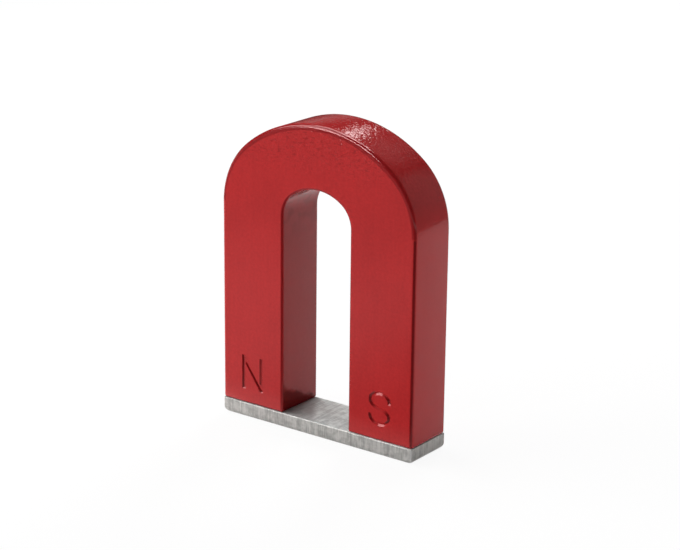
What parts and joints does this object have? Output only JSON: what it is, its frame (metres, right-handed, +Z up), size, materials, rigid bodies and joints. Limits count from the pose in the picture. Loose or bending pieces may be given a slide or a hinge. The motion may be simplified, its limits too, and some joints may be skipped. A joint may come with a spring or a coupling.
{
  "type": "horseshoe magnet",
  "caption": "Horseshoe magnet: a painted cast arch with straight legs and flat pole faces, standing on the flat bare-steel keeper bar that bridges its poles.",
  "frame": {"origin": "centre of the keeper's underside, on which the magnet and keeper stand", "axes": "+Z up from the keeper to the crown, X across the legs from the N leg at -X to the S leg at +X, -Y the front"},
  "size_m": [0.0446, 0.011, 0.0605],
  "materials": {
    "red_paint": "glossy enamel over a casting, slightly uneven",
    "bare_steel": "bare blanked strip, brushed lengthways and across"
  },
  "bodies": {
    "root": {"magnet": "red_paint", "keeper": "bare_steel"}
  },
  "joints": []
}
